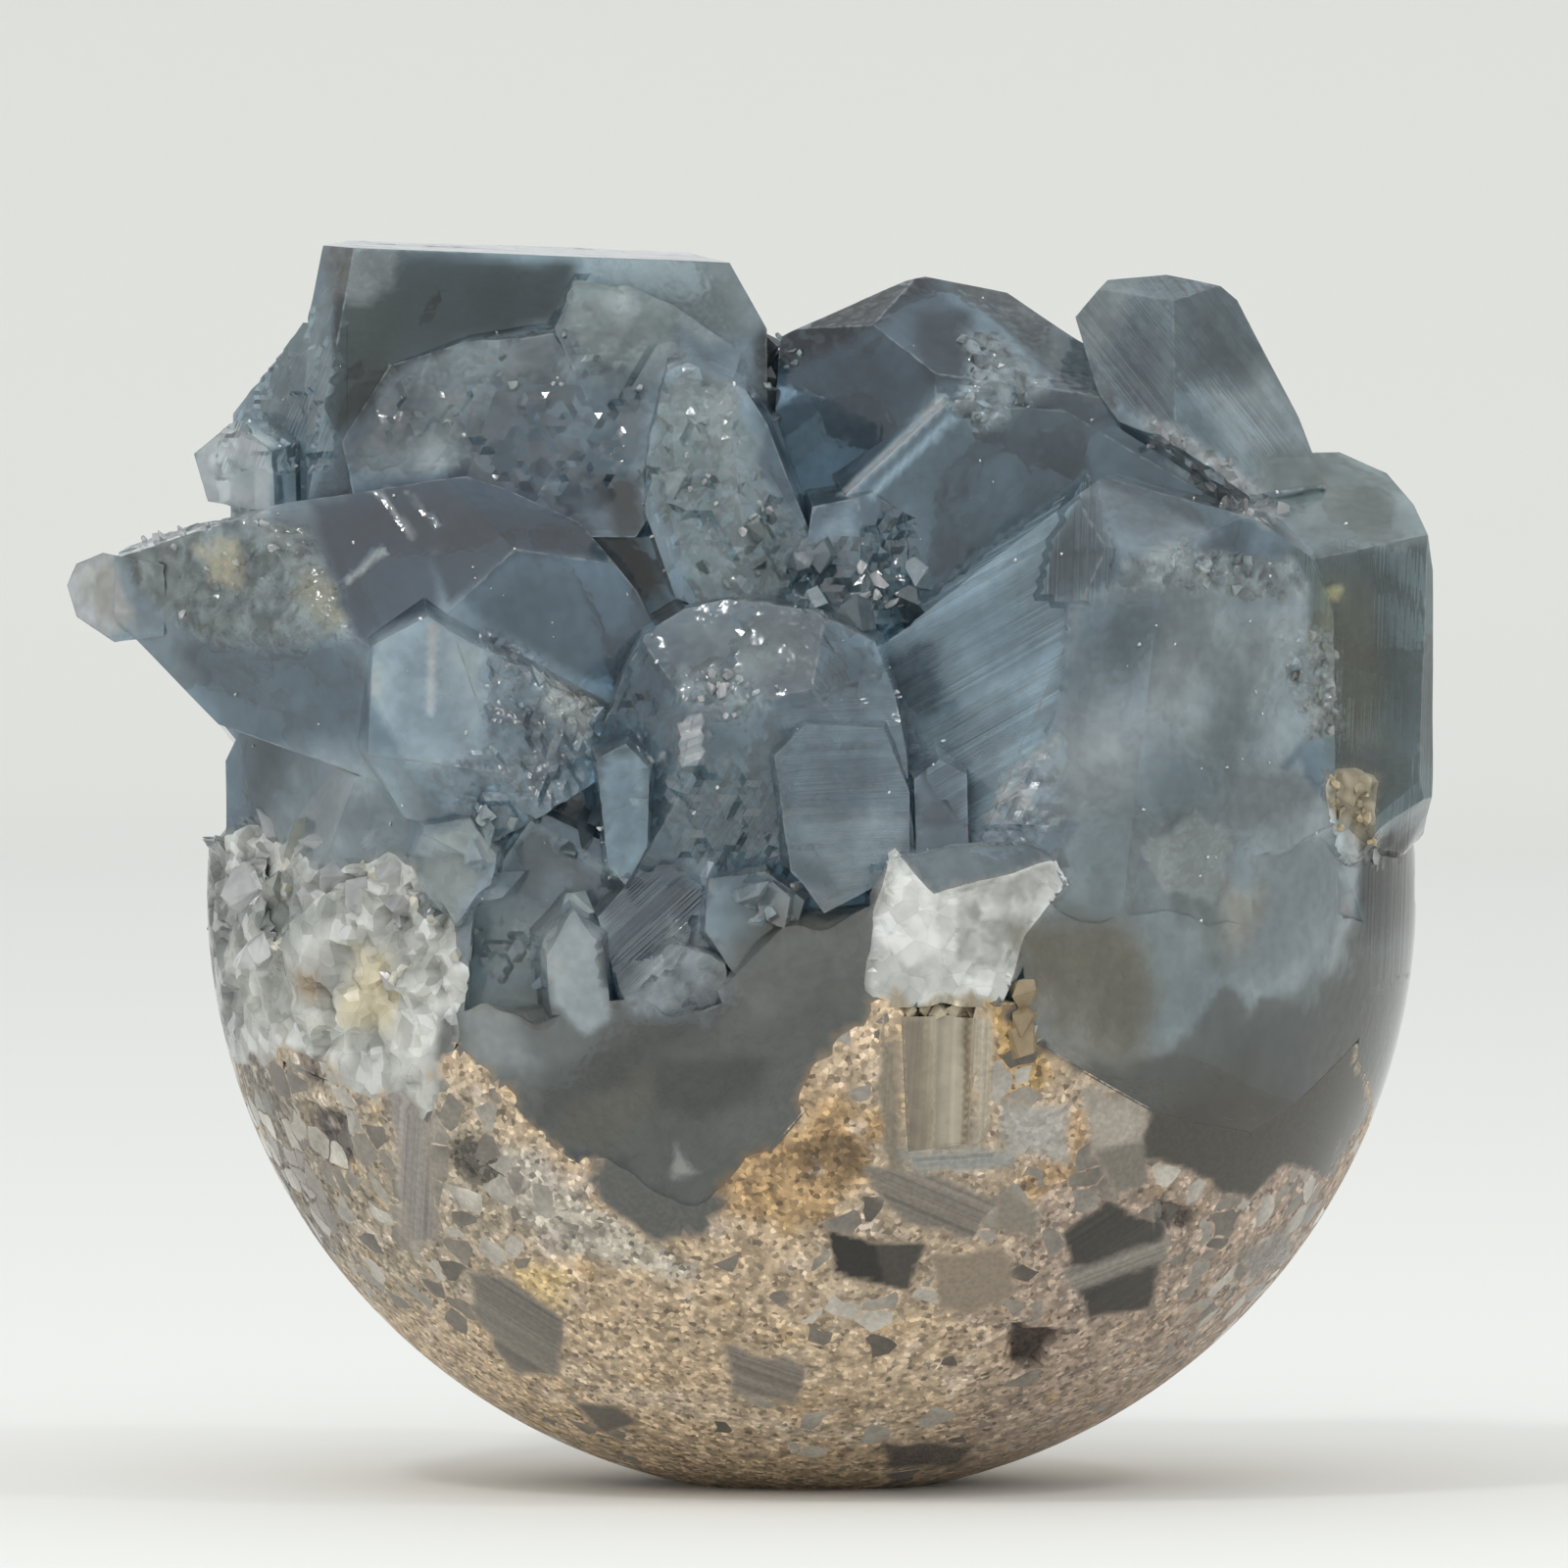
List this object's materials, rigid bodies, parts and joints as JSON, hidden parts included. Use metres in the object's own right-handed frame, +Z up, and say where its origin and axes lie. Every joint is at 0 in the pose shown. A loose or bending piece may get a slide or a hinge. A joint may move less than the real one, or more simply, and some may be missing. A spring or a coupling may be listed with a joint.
{
  "type": "celestite crystal cluster",
  "caption": "Blue-grey celestite crystals grown together on a sandy matrix, ground and polished below to a round bowl with a flat foot.",
  "frame": {"origin": "on the floor under the middle of the piece, seen from above", "axes": "+Z up from the flat foot, +X to the right along the longest extent, -Y towards the viewer of the crystal face"},
  "size_m": [0.0698, 0.0578, 0.0641],
  "materials": {
    "celestite": "clear to cloudy blue-grey crystal, glossy grown faces, frosted breaks, polished where it meets the bowl",
    "matrix": "polished sandy rock in tan and pinkish grains, rust-yellow stains and embedded grey crystal shards"
  },
  "bodies": {
    "root": {"celestite": "celestite", "matrix": "matrix"}
  },
  "joints": []
}
